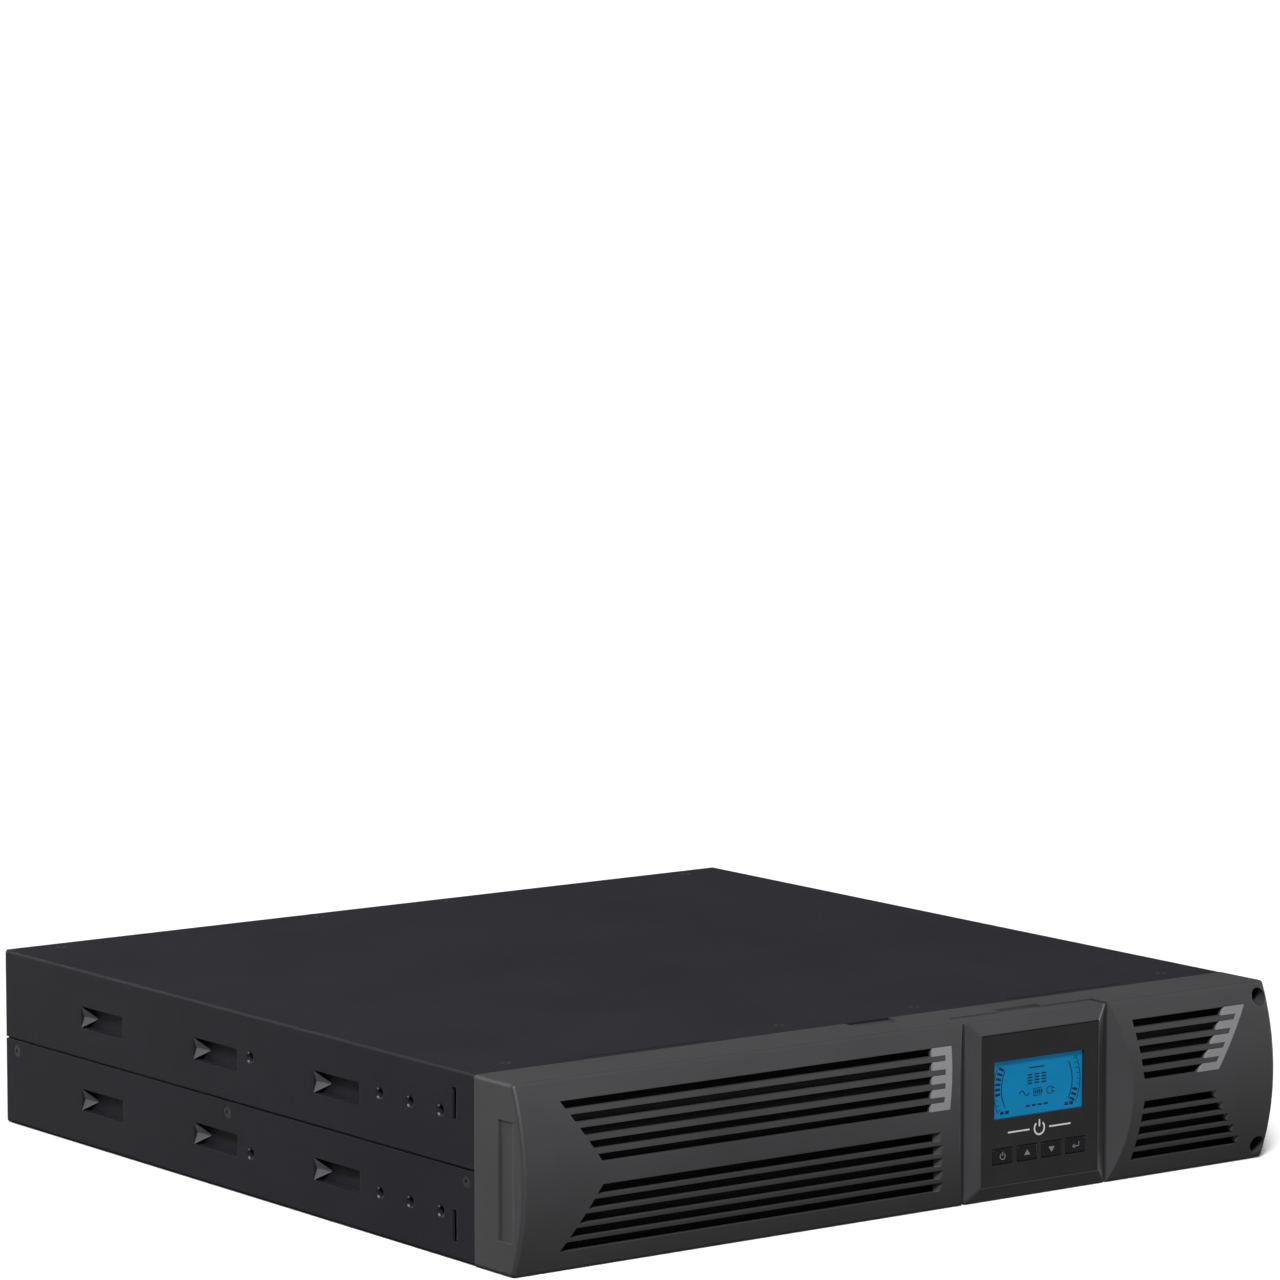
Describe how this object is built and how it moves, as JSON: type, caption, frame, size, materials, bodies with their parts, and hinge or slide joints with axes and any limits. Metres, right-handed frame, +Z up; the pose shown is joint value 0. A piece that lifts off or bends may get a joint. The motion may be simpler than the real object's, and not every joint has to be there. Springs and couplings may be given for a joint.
{
  "type": "rackmount ups",
  "caption": "Two-unit rack uninterruptible power supply with a bowed louvred bezel, a square pull-out display, hook pockets along the case sides and rear sockets.",
  "frame": {"origin": "centre of the bounding box on the underside, where the unit lies on a shelf", "axes": "+X right seen from the front, +Y to the rear panel, +Z up"},
  "size_m": [0.44, 0.446, 0.086],
  "materials": {
    "powder_coat": "fine-textured satin powder coat",
    "bezel_plastic": "fine-grained moulded plastic",
    "silver_trim": "satin silver paint",
    "filter_mesh": "open woven mesh",
    "black_screw": "black oxide",
    "plated_steel": "bright zinc plate",
    "gloss_black": "moulded gloss",
    "clear_window": "clear polished",
    "lcd_blue": "backlit blue",
    "circuit_board": "solder-mask gloss",
    "inner_plastic": "glass-filled moulding",
    "key_plastic": "satin keys",
    "battery_case": "moulded ABS",
    "brass": "bright",
    "core_steel": "varnished laminations",
    "winding": "varnished copper wire and tape",
    "sink_aluminium": "extruded mill finish",
    "sleeve": "shrink sleeve",
    "reset_button": "moulded button"
  },
  "bodies": {
    "chassis": {"chassis_tray": "powder_coat", "top_cover": "powder_coat", "cover_screws": "black_screw", "front_panel": "plated_steel", "battery_door": "plated_steel", "battery_tray": "plated_steel", "battery_1": "battery_case", "battery_2": "battery_case", "battery_3": "battery_case", "battery_4": "battery_case", "battery_straps": "plated_steel", "battery_links": "brass", "bay_divider": "plated_steel", "transformer_core": "core_steel", "transformer_winding": "winding", "transformer_bracket": "plated_steel", "power_board": "circuit_board", "board_posts": "plated_steel", "heat_sink_1": "sink_aluminium", "heat_sink_2": "sink_aluminium", "capacitors": "sleeve", "chokes": "winding", "relays": "inner_plastic", "control_board": "circuit_board", "fan_frame_1": "inner_plastic", "fan_frame_2": "inner_plastic", "rear_panel": "powder_coat", "outlet_shells": "gloss_black", "outlet_cores": "gloss_black", "mains_inlet": "gloss_black", "inlet_pins": "brass", "breaker": "inner_plastic", "slot_cover": "powder_coat", "usb_port": "plated_steel", "serial_port": "plated_steel", "serial_posts": "plated_steel", "network_jacks": "gloss_black", "rear_screws": "black_screw", "ground_screw": "plated_steel", "inlet_filter": "plated_steel"},
    "bezel": {"front_bezel": "bezel_plastic", "bezel_end": "bezel_plastic", "grille_trim_long": "silver_trim", "grille_trim_short": "silver_trim", "dust_filter_long": "filter_mesh", "dust_filter_short": "filter_mesh", "bezel_screws": "black_screw"},
    "display": {"display_frame": "bezel_plastic", "display_lens": "gloss_black", "lcd_window": "clear_window", "lcd_panel": "lcd_blue", "display_board": "circuit_board", "display_housing": "inner_plastic"},
    "key_1": {"display_key_1": "key_plastic"},
    "key_2": {"display_key_2": "key_plastic"},
    "key_3": {"display_key_3": "key_plastic"},
    "key_4": {"display_key_4": "key_plastic"},
    "fan_1": {"fan_rotor_1": "inner_plastic"},
    "fan_2": {"fan_rotor_2": "inner_plastic"},
    "reset": {"breaker_button": "reset_button"}
  },
  "joints": [
    {"name": "bezel_pull", "type": "slide", "parent": "chassis", "child": "bezel", "axis": [0, -1, 0], "range_m": [0, 0.03]},
    {"name": "display_pull", "type": "slide", "parent": "bezel", "child": "display", "axis": [0, -1, 0], "range_m": [0, 0.012]},
    {"name": "key_1_press", "type": "slide", "parent": "display", "child": "key_1", "axis": [0, 1, 0], "range_m": [0, 0.0008], "stiffness_N_per_m": 800},
    {"name": "key_2_press", "type": "slide", "parent": "display", "child": "key_2", "axis": [0, 1, 0], "range_m": [0, 0.0008], "stiffness_N_per_m": 800},
    {"name": "key_3_press", "type": "slide", "parent": "display", "child": "key_3", "axis": [0, 1, 0], "range_m": [0, 0.0008], "stiffness_N_per_m": 800},
    {"name": "key_4_press", "type": "slide", "parent": "display", "child": "key_4", "axis": [0, 1, 0], "range_m": [0, 0.0008], "stiffness_N_per_m": 800},
    {"name": "fan_1_spin", "type": "hinge", "parent": "chassis", "child": "fan_1", "pos_m": [0.176, 0.204, 0.043], "axis": [0, 1, 0], "continuous": true},
    {"name": "fan_2_spin", "type": "hinge", "parent": "chassis", "child": "fan_2", "pos_m": [0.112, 0.204, 0.043], "axis": [0, 1, 0], "continuous": true},
    {"name": "reset_press", "type": "slide", "parent": "chassis", "child": "reset", "axis": [0, -1, 0], "range_m": [0, 0.002], "stiffness_N_per_m": 1500}
  ]
}
